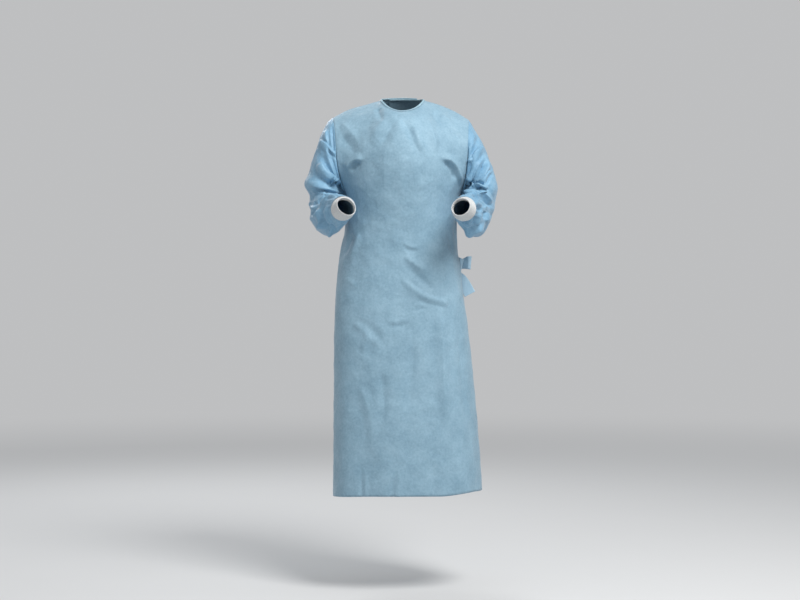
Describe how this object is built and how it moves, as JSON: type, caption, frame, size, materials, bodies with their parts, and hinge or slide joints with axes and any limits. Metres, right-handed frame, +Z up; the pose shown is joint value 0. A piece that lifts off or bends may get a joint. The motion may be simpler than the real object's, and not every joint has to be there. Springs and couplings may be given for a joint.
{
  "type": "surgical gown",
  "caption": "Wrap-round surgical gown in its worn shape: long set-in sleeves with knitted cuffs, bound round neck, lapped back with ties knotted at one side.",
  "frame": {"origin": "midway between the shoulders, at the height of the neck points, where the wearer's shoulders hold the gown", "axes": "+Z up the wearer's body, -Y out of the front of the gown, +X towards the side with the knotted ties"},
  "size_m": [0.5835, 0.4848, 1.2166],
  "materials": {
    "body_cloth": "soft matt nonwoven",
    "sleeve_cloth": "soft matt nonwoven, smoother than the body",
    "cuff_knit": "fine rib knit",
    "binding": "soft matt folded strip",
    "hook_tape": "hook tape",
    "loop_tape": "loop tape",
    "tie_cloth": "soft matt nonwoven strip"
  },
  "bodies": {
    "root": {"front": "body_cloth", "back_outer": "body_cloth", "back_inner": "body_cloth", "sleeve_left": "sleeve_cloth", "sleeve_right": "sleeve_cloth", "cuff_left": "cuff_knit", "cuff_right": "cuff_knit", "neck_binding": "binding", "neck_hook": "hook_tape", "neck_loop": "loop_tape", "tie_flap": "tie_cloth", "tie_side": "tie_cloth"}
  },
  "joints": []
}
